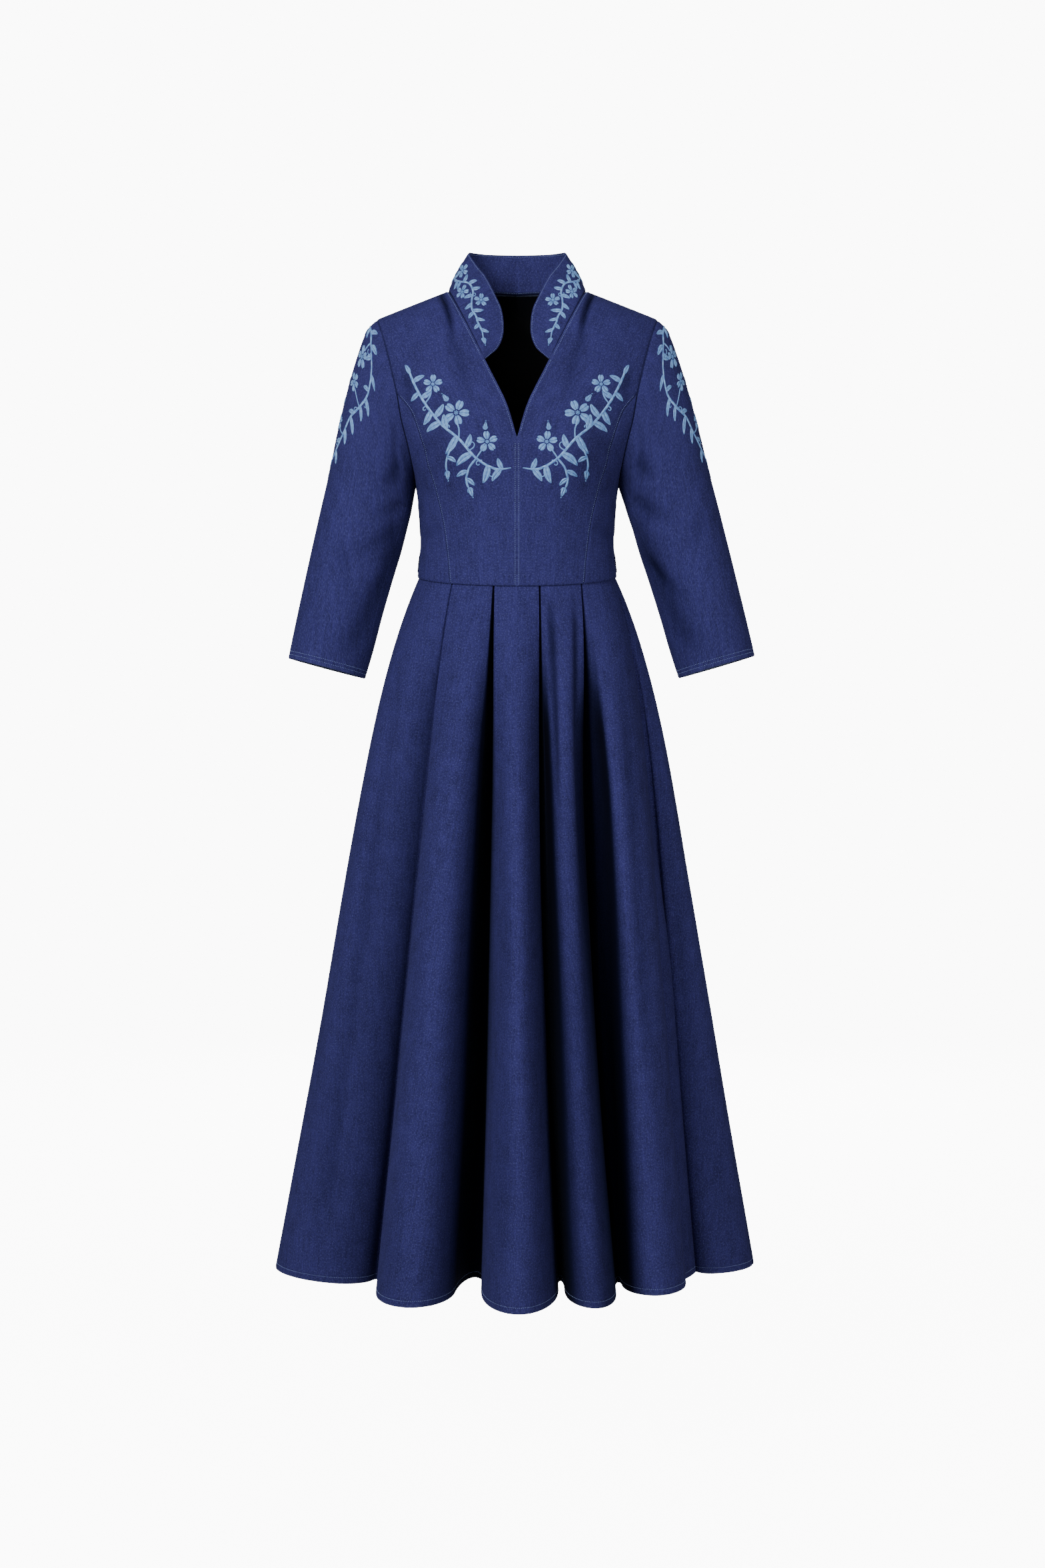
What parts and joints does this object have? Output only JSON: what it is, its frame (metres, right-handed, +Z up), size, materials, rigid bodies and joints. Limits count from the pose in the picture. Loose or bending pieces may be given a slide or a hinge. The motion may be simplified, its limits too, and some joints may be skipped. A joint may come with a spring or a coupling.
{
  "type": "maxi dress",
  "caption": "Full-length denim dress with a stand collar above an open V neck, fitted princess-seamed bodice, three-quarter sleeves and a flared skirt in deep folds.",
  "frame": {"origin": "on the centre line, level with the neck ends of the shoulder seams and in the plane of the side seams: where the wearer's shoulders carry the dress", "axes": "the front faces -Y, +X is the wearer's left, +Z is up"},
  "size_m": [0.681, 0.5893, 1.4495],
  "materials": {
    "denim": "dark indigo denim",
    "lining": "black lining cloth",
    "embroidery_thread": "glossy light blue embroidery thread",
    "topstitch_thread": "light blue sewing thread"
  },
  "bodies": {
    "root": {"front_left": "denim", "side_front_left": "denim", "back_left": "denim", "collar_left": "denim", "sleeve_left": "denim", "front_right": "denim", "side_front_right": "denim", "back_right": "denim", "collar_right": "denim", "sleeve_right": "denim", "skirt_front_right": "denim", "skirt_front_centre": "denim", "skirt_front_left": "denim", "skirt_back_left": "denim", "skirt_back_right": "denim", "lining_front_left": "lining", "lining_front_right": "lining", "lining_back_left": "lining", "lining_back_right": "lining"}
  },
  "joints": []
}
